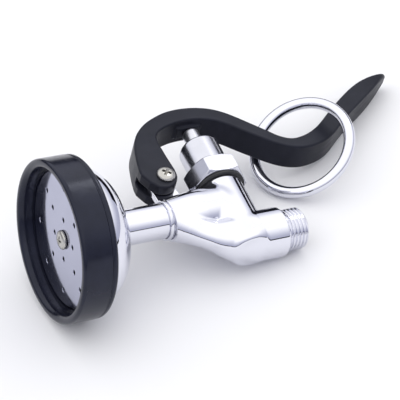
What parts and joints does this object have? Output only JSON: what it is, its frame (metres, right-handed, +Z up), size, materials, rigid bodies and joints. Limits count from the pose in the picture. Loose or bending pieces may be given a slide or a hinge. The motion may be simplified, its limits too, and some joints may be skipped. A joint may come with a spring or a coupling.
{
  "type": "pre-rinse spray valve",
  "caption": "Chrome pre-rinse spray valve with a round rubber-ringed spray head, a side bonnet with a sprung plunger, a black squeeze lever and a loose hold-down ring, lying on its side.",
  "frame": {"origin": "centre of the bounding box's base, on the surface that the valve lies on", "axes": "+Z up; +X along the valve from the spray head to the inlet and the lever's tip; +Y towards the lever's side"},
  "size_m": [0.2138, 0.1, 0.0736],
  "materials": {
    "chrome": "polished chrome plate on brass",
    "polished_steel": "polished stainless steel",
    "zinc_steel": "plain plated steel",
    "spring_steel": "drawn stainless wire",
    "brass": "turned brass",
    "black_rubber": "satin moulded rubber",
    "black_plastic": "satin moulded plastic",
    "seal_rubber": "matt rubber",
    "white_plastic": "natural plastic"
  },
  "bodies": {
    "valve": {"rubber_bumper": "black_rubber", "spray_face_plate": "polished_steel", "face_screw": "zinc_steel", "face_gasket": "seal_rubber", "spray_bell": "chrome", "outlet_tube": "chrome", "tube_seal_ring": "seal_rubber", "valve_body": "chrome", "valve_seat": "brass", "bonnet_gasket": "seal_rubber", "bonnet": "chrome", "bonnet_nut": "chrome", "stem_o_ring": "seal_rubber", "packing_washer": "white_plastic", "spring_washer": "zinc_steel", "return_spring": "spring_steel"},
    "lever": {"squeeze_lever": "black_plastic", "pivot_screw": "zinc_steel", "pivot_nut": "zinc_steel"},
    "stem": {"plunger": "chrome", "spring_collar": "zinc_steel", "seat_washer": "seal_rubber", "washer_holder": "brass", "holder_nut": "brass"},
    "ring": {"hold_down_ring": "chrome"}
  },
  "joints": [
    {"name": "lever_squeeze", "type": "hinge", "parent": "valve", "child": "lever", "pos_m": [-0.03536, 0.00595, 0.02826], "axis": [-0.216, 0.2088, -0.9538], "range_deg": [0, 9.5], "stiffness_Nm_per_rad": 3, "springref_deg": -5.73},
    {"name": "plunger_press", "type": "slide", "parent": "valve", "child": "stem", "axis": [-0.1094, -0.9759, -0.1889], "range_m": [0, 0.0046], "deforming": ["return_spring"]},
    {"name": "ring_swing", "type": "hinge", "parent": "lever", "child": "ring", "pos_m": [0.0397, 0.01218, 0.01472], "axis": [-0.0461, -0.978, -0.2037], "range_deg": [0, 50]}
  ],
  "couplings": [
    {"joint": "plunger_press", "follows": "lever_squeeze", "m_per_rad": 0.027}
  ]
}
